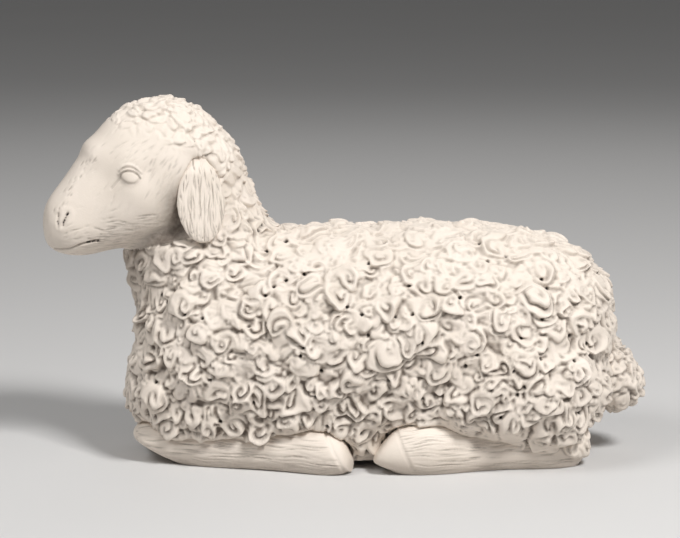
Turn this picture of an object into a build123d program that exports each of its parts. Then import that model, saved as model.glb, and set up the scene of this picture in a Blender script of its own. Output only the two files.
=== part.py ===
from build123d import *
import os
from math import cos, pi, radians, sin, sqrt

# Reclining sheep figurine: a hollow fleece casting closed by a plate underneath,
# with the head, ears, tail and folded legs cast by themselves, then pinned and glued on.
# Millimetres. +Z is up, the head looks along -X and the animal's left side faces -Y.
# The origin is the centre of the belly plate, on the surface that the figurine stands on.

# Fleece casting
chest_reach = 84.5  # origin forward to the breast
rump_reach = 104.5  # origin back to the rump
shoulder_half_width = 40.0
hip_half_width = 45.0
shoulder_height = 88.5
rump_height = 94.0
breast_widest = 38.0  # height of the widest line at the breast
rump_widest = 51.0  # and at the rump
keel_depth = 60.0  # depth of the barrel's oval below that line, before the belly is cut flat
belly_gap = 3.0  # belly above the surface
breast_bluntness = 3.4  # 2 is an ellipse, more is blunter
rump_bluntness = 3.0
thigh_length = 76.0
thigh_setback = 6.0  # thigh's end inside the rump's
thigh_bulge = 0.5  # thigh beyond the barrel's own half width
thigh_height = 30.0
thigh_top = 63.0
casting_wall = 8.0
cavity_floor = 30.0  # underside of the hollow, above the leg pins

# Main locks of the fleece, each a low dome
lock_spacing = 17.0
lock_width = 15.0
lock_rise = 2.3  # dome above the fleece round it
fleece_inset = 1.2  # fleece between locks, inside the barrel's reaches and heights

# Neck, along an axis that leans forward
neck_lean = 15.0  # degrees from upright
neck_setback = 23.5  # breast back to the centre of the neck's seat
neck_rise = 0.5  # shoulders up to the centre of the neck's seat
neck_half_width = 22.5
nape_depth = 29.5
throat_depth = 27.0
neck_dowel_diameter = 10.0
neck_dowel_length = 44.0

# Head
head_turn = 18.0  # degrees to the animal's left
head_length = 79.5
head_half_width = 22.5
head_height = 59.3
jaw_drop = 5.8  # jaw line below the neck's seat
muzzle_reach = 58.6  # nose forward of the neck's axis
eye_diameter = 9.0
eye_setback = 30.0  # behind the nose
eye_height = 29.8  # above the jaw line
eye_inset = 7.8  # eye's centre inside the head's half width

# Ears
ear_length = 33.0
ear_half_width = 9.6
ear_half_thickness = 2.7
ear_setback = 56.6  # behind the nose
ear_root_height = 36.5  # above the jaw line
ear_root_inset = 3.5  # root inside the head's side
ear_splay = 14.0  # degrees out from the head's side
ear_pin_diameter = 2.5
ear_pin_length = 14.0
ear_pin_cover = 1.2  # ear left over the pin's end

# Tail
tail_length = 37.0
tail_half_width = 11.0
tail_droop = 52.0  # degrees below level
tail_root_inset = 14.0  # root inside the rump
tail_root_height = 48.5
tail_pin_diameter = 4.0
tail_pin_length = 26.0

# Legs, folded flat on the surface
front_leg_length = 88.5
front_knee_setback = 1.5  # knee behind the breast
front_knee_offset = 13.0  # knee's centre from the middle
front_hoof_offset = 37.0
front_leg_half_width = 9.0
front_leg_height = 18.0
hind_leg_length = 84.7
hind_hock_inset = 12.0  # hock inside the rump's end
hind_hock_offset = 20.0
hind_hoof_offset = 38.0
hind_leg_half_width = 9.5
hind_leg_height = 20.0
leg_pin_diameter = 4.0
leg_pin_length = 18.0
leg_pin_foot = 6.0  # lower end of a leg pin above the surface

# Belly plate
plate_length = 82.0
plate_width = 30.0
plate_seat = 2.5  # rebate in the belly
plate_ledge = 5.0  # rebate's ledge round the opening
spigot_height = 7.0
spigot_wall = 3.0

# Clearances
glue_gap = 0.2  # between castings
pin_gap = 0.1  # round a pin or dowel


def egg_ring(plane, half_width, rise, drop):
    """Closed egg outline round the plane's origin: rise above it, drop below it."""
    with BuildSketch(plane) as ring:
        with BuildLine():
            for quarter, height in enumerate((rise, rise, drop, drop)):
                EllipticalCenterArc((0, 0), half_width, height, 90 * quarter, arc_size=90)
        make_face()
    return ring.sketch


def fullness(share, bluntness):
    """Share of the full girth at a share of a form's length, nought at both ends."""
    return (1 - abs(2 * share - 1) ** bluntness) ** (1 / bluntness)


def between(first, last, share):
    return first + (last - first) * share


# Shares of a swelling form's length where it has a ring, closer together towards its ends
RING_SHARES = (0.001, 0.015, 0.06, 0.15, 0.3, 0.5, 0.7, 0.85, 0.94, 0.985, 0.999)


def barrel_rings(inset):
    """Rings of the barrel from breast to rump, all drawn in by the inset."""
    for share in RING_SHARES:
        girth = fullness(share, breast_bluntness if share < 0.5 else rump_bluntness)
        x = between(inset - chest_reach, rump_reach - inset, share)
        half_width = between(shoulder_half_width, hip_half_width, share) - inset
        widest = between(breast_widest, rump_widest, share)
        back = between(shoulder_height, rump_height, share) - inset
        yield egg_ring(
            Plane((x, 0, widest), x_dir=(0, 1, 0), z_dir=(1, 0, 0)),
            half_width * girth,
            (back - widest) * girth,
            keel_depth * girth,
        )


def thigh_rings(side):
    """Rings of the thigh's bulge on one side of the barrel."""
    ellipse = 2
    end = rump_reach - thigh_setback
    half_width = hip_half_width / 2
    for share in RING_SHARES:
        girth = fullness(share, ellipse)
        x = between(end - thigh_length, end, share)
        offset = side * (hip_half_width + thigh_bulge - half_width)
        yield egg_ring(
            Plane((x, offset, thigh_height), x_dir=(0, 1, 0), z_dir=(1, 0, 0)),
            half_width * girth,
            (thigh_top - thigh_height) * girth,
            thigh_height * girth,
        )


# Neck frame: the seat's plane faces up the neck, its own y runs to the nape
neck_axis = Vector(-sin(radians(neck_lean)), 0, cos(radians(neck_lean)))
neck_seat = Vector(neck_setback - chest_reach, 0, shoulder_height + neck_rise)
seat_plane = Plane(neck_seat, x_dir=(0, -1, 0), z_dir=neck_axis)
neck_root = (neck_seat.Z - breast_widest) * 0.85  # seat down to the neck's foot in the barrel

# Rings of the neck: shares of its root's length up from the seat, then half width, nape and
# throat as shares of the seat's
NECK_RINGS = (
    (-1.0, 1.6, 1.5, 1.17),
    (-0.5, 1.33, 1.3, 1.09),
    (0.0, 1.0, 1.0, 1.0),
    (0.5, 0.9, 0.88, 0.7),
    (0.85, 0.7, 0.72, 0.5),
)


def neck_rings():
    for up, width, nape, throat in NECK_RINGS:
        yield egg_ring(
            seat_plane.offset(up * neck_root),
            width * neck_half_width,
            nape * nape_depth,
            throat * throat_depth,
        )


# Locks stand where lines leave the fleece, each turned by the golden angle from the one before
GOLDEN_ANGLE = pi * (3 - sqrt(5))
LOCK_AREA = lock_spacing**2 * sqrt(3) / 2
CROWDED = 0.8  # least distance between two locks, as a share of their spacing
STEEPEST = -0.6  # how far down a surface with a lock may face, -1 being straight down
lock_radius = (lock_width**2 / 4 + lock_rise**2) / (2 * lock_rise)


def barrel_lines():
    """Lines from the barrel's core, evenly spread as over a cylinder with round ends."""
    radius = (shoulder_half_width + hip_half_width) / 2
    count = round(2 * pi * radius * (chest_reach + rump_reach) / LOCK_AREA)
    for number in range(count):
        x = between(-chest_reach, rump_reach, (number + 0.5) / count)
        core = min(max(x, radius - chest_reach), rump_reach - radius)
        along = (x - core) / radius
        square = sqrt(1 - along**2)
        around = number * GOLDEN_ANGLE
        yield Axis(
            (core, 0, (breast_widest + rump_widest) / 2),
            (along, square * cos(around), square * sin(around)),
        )


def neck_lines():
    """Lines square to the neck's axis, from its foot up to its seat."""
    length = neck_root / 2
    count = round(pi * (nape_depth + neck_half_width) * length / LOCK_AREA)
    for number in range(count):
        ring = seat_plane.offset(between(-length, -lock_width / 3, (number + 0.5) / count))
        around = number * GOLDEN_ANGLE
        yield Axis(ring.origin, ring.x_dir * cos(around) + ring.y_dir * sin(around))


def lock_centres(fleece):
    """Centres of the locks' domes, on the fleece's open sides below the neck's seat."""
    tops = []
    centres = []
    for line in (*barrel_lines(), *neck_lines()):
        hits = fleece.find_intersection_points(line)
        top, normal = max(hits, key=lambda hit: (hit[0] - line.position).dot(line.direction))
        if normal.dot(line.direction) < 0:
            normal = -normal
        in_the_open = normal.Z > STEEPEST and seat_plane.to_local_coords(top).Z < 0
        if in_the_open and all((top - other).length > CROWDED * lock_spacing for other in tops):
            tops.append(top)
            centres.append(top + normal * (lock_rise - lock_radius))
    return centres


# Head frame: forward along the turned face, left towards the animal's left ear
turn = radians(head_turn)
forward = Vector(-cos(turn), -sin(turn), 0)
left = Vector(sin(turn), -cos(turn), 0)
jaw_line = neck_seat.Z - jaw_drop

# Head outline at shares of its length from the nose: half width as a share of the head's,
# then jaw, widest line and crown as shares of its height above the jaw line
HEAD_RINGS = (
    (0.003, 0.12, 0.11, 0.17, 0.23),
    (0.02, 0.30, 0.03, 0.18, 0.32),
    (0.08, 0.47, -0.02, 0.18, 0.43),
    (0.20, 0.62, -0.04, 0.22, 0.64),
    (0.32, 0.80, -0.01, 0.32, 0.84),
    (0.45, 0.92, 0.00, 0.42, 0.95),
    (0.57, 1.00, 0.01, 0.47, 0.985),
    (0.70, 1.00, 0.03, 0.50, 0.96),
    (0.84, 0.90, 0.12, 0.50, 0.84),
    (0.95, 0.62, 0.27, 0.49, 0.67),
    (0.998, 0.20, 0.42, 0.49, 0.55),
)


def head_point(behind_nose, to_left, above_jaw):
    """Point in the head's own measures."""
    ahead = forward * (muzzle_reach - behind_nose)
    return Vector(neck_seat.X, 0, jaw_line + above_jaw) + ahead + left * to_left


def head_plane(behind_nose, above_jaw):
    return Plane(head_point(behind_nose, 0, above_jaw), x_dir=left, z_dir=forward)


def head_rings():
    for share, width, jaw, widest, crown in HEAD_RINGS:
        yield egg_ring(
            head_plane(share * head_length, widest * head_height),
            width * head_half_width,
            (crown - widest) * head_height,
            (widest - jaw) * head_height,
        )


# Share of an ear's length, below its root, where its pin stands
EAR_PIN_SHARE = 0.14

# Shares of an ear's length, with its half width and half thickness there as shares
EAR_RINGS = (
    (0.0, 0.42, 0.85),
    (0.15, 0.62, 1.0),
    (0.35, 0.9, 1.0),
    (0.55, 1.0, 0.95),
    (0.75, 0.88, 0.85),
    (0.92, 0.56, 0.7),
    (0.995, 0.18, 0.4),
)


def ear_root(side):
    return head_point(ear_setback, side * (head_half_width - ear_root_inset), ear_root_height)


def ear_direction(side):
    splay = radians(ear_splay)
    return left * side * sin(splay) - Vector(0, 0, cos(splay))


def ear_rings(side, gap):
    """Rings of one ear from root to tip, grown by the gap. Side is 1 on the left."""
    for share, width, thickness in EAR_RINGS:
        centre = ear_root(side) + ear_direction(side) * (share * ear_length)
        half_thickness = thickness * ear_half_thickness + gap
        yield egg_ring(
            Plane(centre, x_dir=forward, z_dir=ear_direction(side)),
            width * ear_half_width + gap,
            half_thickness,
            half_thickness,
        )


# Shares of the tail's length, with its girth there as a share
TAIL_RINGS = ((0.0, 0.95), (0.3, 1.0), (0.6, 1.0), (0.82, 0.9), (0.95, 0.6), (0.995, 0.2))

droop = radians(tail_droop)
tail_axis = Vector(cos(droop), 0, -sin(droop))
tail_root = Vector(rump_reach - tail_root_inset, 0, tail_root_height)


def tail_rings(gap):
    for share, girth in TAIL_RINGS:
        half_width = girth * tail_half_width + gap
        yield egg_ring(
            Plane(tail_root + tail_axis * (share * tail_length), x_dir=(0, 1, 0), z_dir=tail_axis),
            half_width,
            half_width,
            half_width,
        )


# Shares of a leg's length from its folded joint to the toe, with its half width there, and its
# sole, widest line and crown as shares of its height. A sole below nought lies flat.
FRONT_LEG_RINGS = (
    (0.003, 0.35, 0.46, 0.58, 0.74),
    (0.03, 0.75, 0.3, 0.56, 0.92),
    (0.10, 1.0, 0.12, 0.5, 0.98),
    (0.20, 1.0, 0.0, 0.45, 0.97),
    (0.34, 1.0, -0.1, 0.4, 0.94),
    (0.58, 0.92, -0.1, 0.4, 0.9),
    (0.80, 0.98, -0.1, 0.42, 0.98),
    (0.90, 1.0, -0.1, 0.4, 0.94),
    (0.97, 0.85, -0.08, 0.3, 0.6),
    (0.998, 0.5, -0.05, 0.14, 0.28),
)
HIND_LEG_RINGS = (
    (0.003, 0.4, 0.25, 0.5, 0.8),
    (0.04, 0.8, 0.05, 0.45, 0.95),
    (0.14, 1.0, -0.1, 0.4, 1.0),
    (0.35, 0.9, -0.1, 0.38, 0.86),
    (0.60, 0.95, -0.1, 0.42, 0.98),
    (0.80, 1.0, -0.1, 0.44, 1.0),
    (0.88, 0.9, -0.08, 0.4, 0.82),
    (0.96, 0.66, 0.05, 0.36, 0.6),
    (0.998, 0.28, 0.2, 0.32, 0.42),
)


class Leg:
    """A folded leg: its joint and toe on the surface, and its outline from one to the other."""

    def __init__(self, joint, toe_offset, length, half_width, height, rings):
        reach = (length**2 - (toe_offset - joint.Y) ** 2) ** 0.5
        self.joint = joint
        self.along = Vector(reach if joint.X < 0 else -reach, toe_offset - joint.Y, 0) / length
        self.length = length
        self.half_width = half_width
        self.height = height
        self.rings = rings

    def spot(self, share, up=0.0):
        return self.joint + self.along * (share * self.length) + Vector(0, 0, up)

    def outline(self, gap):
        for share, width, sole, widest, crown in self.rings:
            centre = self.spot(share, widest * self.height)
            yield egg_ring(
                Plane(centre, x_dir=self.along.cross(Vector(0, 0, 1)), z_dir=self.along),
                width * self.half_width + gap,
                (crown - widest) * self.height + gap,
                (widest - sole) * self.height + gap,
            )


front_leg = Leg(
    Vector(front_knee_setback - chest_reach, front_knee_offset, 0),
    front_hoof_offset,
    front_leg_length,
    front_leg_half_width,
    front_leg_height,
    FRONT_LEG_RINGS,
)
hind_leg = Leg(
    Vector(rump_reach - hind_hock_inset, hind_hock_offset, 0),
    hind_hoof_offset,
    hind_leg_length,
    hind_leg_half_width,
    hind_leg_height,
    HIND_LEG_RINGS,
)

# Shares of a leg's length where its two pins stand
LEG_PIN_SHARES = (0.28, 0.62)


def leg_pin_spots(leg):
    return [leg.spot(share, leg_pin_foot) for share in LEG_PIN_SHARES]


def both_sides(points):
    return [Vector(p.X, side * p.Y, p.Z) for p in points for side in (1, -1)]


def pin(plane, diameter, length, gap=0.0):
    """Round pin up from the plane's origin, longer and thicker by the gap all round."""
    with BuildPart(plane.offset(-gap)) as one:
        Cylinder(
            diameter / 2 + gap,
            length + 2 * gap,
            align=(Align.CENTER, Align.CENTER, Align.MIN),
        )
    return one.part


def neck_dowel_form(gap=0.0):
    return pin(seat_plane.offset(-neck_dowel_length / 2), neck_dowel_diameter, neck_dowel_length, gap)


def ear_pin_form(side, gap=0.0):
    """Pin level from the head into the ear's root, stopping short of the ear's face."""
    middle = ear_root(side) + ear_direction(side) * (ear_length * EAR_PIN_SHARE)
    inwards = ear_pin_length + ear_pin_cover - ear_half_thickness
    outwards = Plane(middle - left * side * inwards, z_dir=left * side)
    return pin(outwards, ear_pin_diameter, ear_pin_length, gap)


def tail_pin_form(gap=0.0):
    start = tail_root - tail_axis * (tail_pin_length / 2)
    return pin(Plane(start, z_dir=tail_axis), tail_pin_diameter, tail_pin_length, gap)


def leg_pin_form(spot, gap=0.0):
    return pin(Plane(spot), leg_pin_diameter, leg_pin_length, gap)


def leg_form(leg, gap=0.0):
    """A leg on the +Y side, flat where it lies on the surface."""
    with BuildPart() as form:
        loft(list(leg.outline(gap)))
        split(bisect_by=Plane.XY, keep=Keep.TOP)
    return form.part


def eye_centre(side):
    return head_point(eye_setback, side * (head_half_width - eye_inset), eye_height)


def ear_form(side, gap=0.0):
    with BuildPart() as form:
        loft(list(ear_rings(side, gap)))
    return form.part


def tail_form(gap=0.0):
    with BuildPart() as form:
        loft(list(tail_rings(gap)))
    return form.part


def write(piece, name):
    piece.part.label = name
    export_step(piece.part, os.path.join("parts", f"{name}.step"))


os.makedirs("parts", exist_ok=True)

# Hollow of the fleece casting, flat over the legs
with BuildPart() as cavity:
    loft(list(barrel_rings(casting_wall)))
    split(bisect_by=Plane.XY.offset(cavity_floor), keep=Keep.TOP)
    split(bisect_by=seat_plane.offset(-neck_dowel_length / 2 - casting_wall), keep=Keep.BOTTOM)

# Fleece casting: barrel, neck and thighs in one, with seats for everything fixed to it
with BuildPart() as fleece_body:
    loft(list(barrel_rings(fleece_inset)))
    loft(list(neck_rings()))
    for side in (1, -1):
        loft(list(thigh_rings(side)))
    with Locations(*lock_centres(fleece_body.part)):
        Sphere(lock_radius)
    split(bisect_by=Plane.XY.offset(belly_gap), keep=Keep.TOP)
    split(bisect_by=seat_plane, keep=Keep.BOTTOM)
    add(cavity.part, mode=Mode.SUBTRACT)
    with BuildSketch(Plane.XY.offset(belly_gap)):
        SlotOverall(plate_length + 2 * glue_gap, plate_width + 2 * glue_gap)
    extrude(amount=plate_seat, mode=Mode.SUBTRACT)
    with BuildSketch(Plane.XY.offset(belly_gap)):
        SlotOverall(plate_length - 2 * plate_ledge, plate_width - 2 * plate_ledge)
    extrude(amount=cavity_floor, mode=Mode.SUBTRACT)
    for leg in (front_leg, hind_leg):
        pocket = leg_form(leg, glue_gap)
        add(pocket, mode=Mode.SUBTRACT)
        add(pocket.mirror(Plane.XZ), mode=Mode.SUBTRACT)
        for spot in both_sides(leg_pin_spots(leg)):
            add(leg_pin_form(spot, pin_gap), mode=Mode.SUBTRACT)
    for side in (1, -1):
        add(ear_form(side, glue_gap), mode=Mode.SUBTRACT)
    add(tail_form(glue_gap), mode=Mode.SUBTRACT)
    add(tail_pin_form(pin_gap), mode=Mode.SUBTRACT)
    add(neck_dowel_form(pin_gap), mode=Mode.SUBTRACT)
write(fleece_body, "fleece_body")

# Head casting: the turned head with the nape down to its seat on the neck
with BuildPart() as head:
    loft(list(head_rings()))
    loft(list(neck_rings()))
    split(bisect_by=seat_plane, keep=Keep.TOP)
    with Locations(eye_centre(1), eye_centre(-1)):
        Sphere(eye_diameter / 2)
    add(neck_dowel_form(pin_gap), mode=Mode.SUBTRACT)
    for side in (1, -1):
        add(ear_form(side, glue_gap), mode=Mode.SUBTRACT)
        add(ear_pin_form(side, pin_gap), mode=Mode.SUBTRACT)
write(head, "head")

# Ears, glued into shallow sockets over a pin each
for side, name in ((1, "ear_left"), (-1, "ear_right")):
    with BuildPart() as ear:
        add(ear_form(side))
        add(ear_pin_form(side, pin_gap), mode=Mode.SUBTRACT)
    write(ear, name)

# Tail, glued into the rump over one pin
with BuildPart() as tail:
    add(tail_form())
    add(tail_pin_form(pin_gap), mode=Mode.SUBTRACT)
write(tail, "tail")

# Legs, two alike on each side
for leg, name in ((front_leg, "front_leg"), (hind_leg, "hind_leg")):
    with BuildPart() as right_leg:
        add(leg_form(leg))
        for spot in leg_pin_spots(leg):
            add(leg_pin_form(spot, pin_gap), mode=Mode.SUBTRACT)
    write(right_leg, f"{name}_right")
    with BuildPart() as left_leg:
        mirror(right_leg.part, about=Plane.XZ)
    write(left_leg, f"{name}_left")

# Belly plate: a flange level with the soles, and a spigot up into the opening
with BuildPart() as belly_plate:
    with BuildSketch():
        SlotOverall(plate_length, plate_width)
    extrude(amount=belly_gap + plate_seat)
    with BuildSketch(Plane.XY.offset(belly_gap + plate_seat)):
        SlotOverall(
            plate_length - 2 * plate_ledge - 2 * glue_gap,
            plate_width - 2 * plate_ledge - 2 * glue_gap,
        )
        SlotOverall(
            plate_length - 2 * plate_ledge - 2 * glue_gap - 2 * spigot_wall,
            plate_width - 2 * plate_ledge - 2 * glue_gap - 2 * spigot_wall,
            mode=Mode.SUBTRACT,
        )
    extrude(amount=spigot_height)
write(belly_plate, "belly_plate")

# Dowel and pins
with BuildPart() as neck_dowel:
    add(neck_dowel_form())
write(neck_dowel, "neck_dowel")

with BuildPart() as ear_pins:
    for side in (1, -1):
        add(ear_pin_form(side))
write(ear_pins, "ear_pins")

with BuildPart() as tail_pin:
    add(tail_pin_form())
write(tail_pin, "tail_pin")

for leg, name in ((front_leg, "front_leg_pins"), (hind_leg, "hind_leg_pins")):
    with BuildPart() as leg_pins:
        for spot in both_sides(leg_pin_spots(leg)):
            add(leg_pin_form(spot))
    write(leg_pins, name)
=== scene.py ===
import math

import bmesh
import bpy
import numpy as np
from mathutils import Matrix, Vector


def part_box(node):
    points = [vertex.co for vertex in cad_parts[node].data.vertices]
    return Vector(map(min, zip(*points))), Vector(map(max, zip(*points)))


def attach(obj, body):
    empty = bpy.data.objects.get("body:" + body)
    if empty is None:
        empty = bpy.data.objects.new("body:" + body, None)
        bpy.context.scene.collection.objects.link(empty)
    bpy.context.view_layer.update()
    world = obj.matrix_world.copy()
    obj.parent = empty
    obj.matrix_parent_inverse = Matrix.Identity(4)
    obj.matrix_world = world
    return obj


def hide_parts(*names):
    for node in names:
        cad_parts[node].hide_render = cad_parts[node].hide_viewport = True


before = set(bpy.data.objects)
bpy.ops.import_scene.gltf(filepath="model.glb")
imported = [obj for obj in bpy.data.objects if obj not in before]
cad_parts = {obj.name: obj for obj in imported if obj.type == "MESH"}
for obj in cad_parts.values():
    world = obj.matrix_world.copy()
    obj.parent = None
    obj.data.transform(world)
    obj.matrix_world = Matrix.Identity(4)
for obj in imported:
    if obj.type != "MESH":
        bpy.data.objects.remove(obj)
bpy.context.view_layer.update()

bl_info = {
    "name": "Reclining Sheep Figurine",
    "version": (1, 0, 0),
    "blender": (4, 5, 0),
    "location": "3D View > Sidebar > Sheep",
    "description": "Models the curled fleece, face, ears, legs and tail of a cast sheep around its solids",
    "category": "Object",
}

MM = 0.001
MERGE_DISTANCE = MM / 1000

# Head frame, in millimetres: the dowel is centred on the neck's seat
NECK_SEAT = sum((np.array(corner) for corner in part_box("neck_dowel")), np.zeros(3)) / 2 / MM
NECK_LEAN = math.radians(15.0)
HEAD_TURN = math.radians(18.0)
JAW_LINE = NECK_SEAT[2] - 5.8
MUZZLE_REACH = 58.6
FORWARD = np.array([-math.cos(HEAD_TURN), -math.sin(HEAD_TURN), 0.0])
LEFT = np.array([math.sin(HEAD_TURN), -math.cos(HEAD_TURN), 0.0])
UP = np.array([0.0, 0.0, 1.0])
SEAT_NORMAL = np.array([-math.sin(NECK_LEAN), 0.0, math.cos(NECK_LEAN)])


class FleeceSettings(bpy.types.PropertyGroup):
    """Sizes of the modelled curls."""

    curl_spacing: bpy.props.FloatProperty(
        name="Curl Spacing", description="Distance between curls on the flank",
        default=6.6 * MM, unit="LENGTH")
    cap_spacing: bpy.props.FloatProperty(
        name="Cap Spacing", description="Distance between curls on the crown",
        default=3.3 * MM, unit="LENGTH")
    curl_lift: bpy.props.FloatProperty(
        name="Curl Lift", description="Height of a flank curl's lip", default=2.8 * MM, unit="LENGTH")
    cap_lift: bpy.props.FloatProperty(
        name="Cap Lift", description="Height of a curl on the crown", default=1.3 * MM, unit="LENGTH")
    droop: bpy.props.FloatProperty(
        name="Droop", description="How far a lip leans down, as a share of its height",
        default=0.36, subtype="FACTOR")
    grain: bpy.props.FloatProperty(
        name="Grain", description="Edge length of the fleece's mesh", default=0.48 * MM, unit="LENGTH")
    seed: bpy.props.IntProperty(
        name="Seed", description="Layout of the curls", default=11, subtype="UNSIGNED")


class PaintSettings(bpy.types.PropertyGroup):
    """Colours of the finish."""

    ivory: bpy.props.FloatVectorProperty(
        name="Ivory", description="Brushed top coat", default=(0.80, 0.715, 0.635), subtype="COLOR", size=3)
    # Wash colour, also used for the painted shade under the jaw, on the throat, low on the fleece and at
    # the soles
    wash_and_painted_shade: bpy.props.FloatVectorProperty(
        name="Wash", description="Thin wash left in the hollows", default=(0.17, 0.135, 0.108),
        subtype="COLOR", size=3)
    # Near-black painted shade inside the pits
    pinhole_painted_shade: bpy.props.FloatVectorProperty(
        name="Pinhole", description="Inside of an air bubble", default=(0.012, 0.010, 0.009),
        subtype="COLOR", size=3)
    roughness: bpy.props.FloatProperty(
        name="Roughness", description="Roughness of the top coat", default=0.6, subtype="FACTOR")


class StageSettings(bpy.types.PropertyGroup):
    """Camera, lights and floor."""

    distance: bpy.props.FloatProperty(
        name="Distance", description="Camera to the figurine", default=0.9, unit="LENGTH")
    elevation: bpy.props.FloatProperty(
        name="Elevation", description="Camera above level", default=math.radians(9.5), subtype="ANGLE")
    lens: bpy.props.FloatProperty(
        name="Lens", description="Focal length in millimetres", default=120.9, unit="CAMERA")
    floor: bpy.props.FloatVectorProperty(
        name="Floor", description="Floor colour", default=(0.62, 0.61, 0.60), subtype="COLOR", size=3)


# Meshes

def solid_copy(*nodes):
    """A bmesh with merged copies of CAD nodes."""
    bm = bmesh.new()
    for name in nodes:
        known = len(bm.verts)
        bm.from_mesh(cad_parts[name].data)
        bm.verts.ensure_lookup_table()
        bmesh.ops.remove_doubles(bm, verts=bm.verts[known:], dist=MERGE_DISTANCE)
    return bm


def to_mesh(bm, name):
    """Turns a bmesh into a mesh and frees it."""
    mesh = bpy.data.meshes.new(name)
    bm.to_mesh(mesh)
    bm.free()
    return mesh


def to_bmesh(mesh):
    """Turns a mesh into a bmesh and removes it."""
    bm = bmesh.new()
    bm.from_mesh(mesh)
    bpy.data.meshes.remove(mesh)
    return bm


def even_mesh(bm, grain, soften=0):
    """A mesh of even quads over all that the bmesh holds, softened by rounds of smoothing."""
    holder = bpy.data.objects.new("holder", to_mesh(bm, "holder"))
    bpy.context.scene.collection.objects.link(holder)
    voxels = holder.modifiers.new("voxels", "REMESH")
    voxels.mode = "VOXEL"
    voxels.voxel_size = grain
    if soften:
        smooth = holder.modifiers.new("soften", "SMOOTH")
        smooth.factor = 0.5
        smooth.iterations = soften
    depsgraph = bpy.context.evaluated_depsgraph_get()
    mesh = bpy.data.meshes.new_from_object(holder.evaluated_get(depsgraph))
    source = holder.data
    bpy.data.objects.remove(holder)
    bpy.data.meshes.remove(source)
    return mesh


def cut(bm, point, normal):
    """Takes away what lies past a plane, in millimetres, and closes the cut with a flat face."""
    bmesh.ops.bisect_plane(
        bm, geom=bm.verts[:] + bm.edges[:] + bm.faces[:], dist=MERGE_DISTANCE,
        plane_co=Vector(point) * MM, plane_no=Vector(normal), clear_outer=True)
    rim = [e for e in bm.edges if e.is_boundary]
    if rim:
        caps = bmesh.ops.edgeloop_fill(bm, edges=rim)["faces"]
        for flat in caps + rim:
            flat.smooth = False
    return bm


def finish_piece(bm, name, node, material):
    """Makes the painted piece that stands for a CAD node."""
    mesh = to_mesh(bm, name)
    piece = bpy.data.objects.new(name, mesh)
    bpy.context.scene.collection.objects.link(piece)
    mesh.materials.append(material)
    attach(piece, "root")
    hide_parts(node)


class Skin:
    """A dense mesh as arrays in millimetres, for sculpting in code."""

    CELL = 6.0

    def __init__(self, mesh):
        self.mesh = mesh
        self.count = len(mesh.vertices)
        self.at = self.read(mesh.vertices, "co", 3, np.float32).astype(float) / MM
        self.ends = self.read(mesh.edges, "vertices", 2, np.int32)
        self.degree = np.maximum(np.bincount(self.ends.ravel(), minlength=self.count), 1)
        self.refresh()

    @staticmethod
    def read(items, name, width, kind):
        values = np.empty(len(items) * width, kind)
        items.foreach_get(name, values)
        return values.reshape(-1, width)

    def refresh(self):
        """Puts the moved points back in the mesh and reads its normals."""
        self.mesh.vertices.foreach_set("co", (self.at * MM).astype(np.float32).ravel())
        self.mesh.update()
        self.out = self.read(self.mesh.vertex_normals, "vector", 3, np.float32).astype(float)
        self.low = self.at.min(0)
        cells = ((self.at - self.low) / self.CELL).astype(int)
        self.cells = cells.max(0) + 1
        keys = self.key(*cells.T)
        self.order = np.argsort(keys, kind="stable")
        self.keys = keys[self.order]

    def key(self, i, j, k):
        return (i * self.cells[1] + j) * self.cells[2] + k

    def near(self, centre, radius):
        """Points within a radius of a centre."""
        least = np.clip((centre - radius - self.low) // self.CELL, 0, self.cells - 1).astype(int)
        most = np.clip((centre + radius - self.low) // self.CELL, 0, self.cells - 1).astype(int)
        rows, columns = np.mgrid[least[0]:most[0] + 1, least[1]:most[1] + 1].reshape(2, -1)
        firsts = np.searchsorted(self.keys, self.key(rows, columns, least[2]))
        lasts = np.searchsorted(self.keys, self.key(rows, columns, most[2]), "right")
        some = np.concatenate([self.order[first:last] for first, last in zip(firsts, lasts)])
        away = self.at[some] - centre
        return some[np.einsum("ij,ij->i", away, away) < radius * radius]

    def spread(self, field, rounds):
        """A field averaged over neighbours, again and again."""
        a, b = self.ends.T
        columns = field.reshape(self.count, -1)
        for _ in range(rounds):
            columns = np.stack([
                (np.bincount(a, c[b], self.count) + np.bincount(b, c[a], self.count)) / self.degree
                for c in columns.T], 1)
        return columns.reshape(field.shape)

    def hollows(self, *rounds):
        """How far each point lies below the average of its surroundings, from near to far."""
        middle = self.at
        done = 0
        depths = []
        for count in rounds:
            middle = self.spread(middle, count - done)
            done = count
            depths.append(np.einsum("ij,ij->i", middle - self.at, self.out))
        return depths

    def calm(self, rounds):
        """Normals averaged over neighbours, so that small relief doesn't sway them."""
        return unit(self.spread(self.out, rounds))

    def relax(self, shares):
        """Draws points towards the middle of their neighbours, each by its own share."""
        self.at += (self.spread(self.at, 1) - self.at) * shares[:, None]

    def keep(self, name, values):
        """Stores a field as an attribute of the points."""
        layer = self.mesh.attributes.new(name, "FLOAT", "POINT")
        layer.data.foreach_set("value", values.astype(np.float32))


LEAST_LENGTH = 1e-9
# Rounds of averaging for the normals of the fleece and head, and of the smaller castings and the forms
# that locks are laid out on
CALM_ROUNDS = 12
SMALL_CALM_ROUNDS = 10


def ease(low, high, values):
    """Smooth step from 0 at low to 1 at high."""
    t = np.clip((values - low) / (high - low), 0.0, 1.0)
    return t * t * (3.0 - 2.0 * t)


def unit(vectors):
    """Vectors made 1 long."""
    return vectors / np.maximum(np.linalg.norm(vectors, axis=-1, keepdims=True), LEAST_LENGTH)


def bell(distance, width):
    """1 in the middle, fading to nothing about two widths away."""
    return np.exp(-((distance / width) ** 2))


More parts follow.
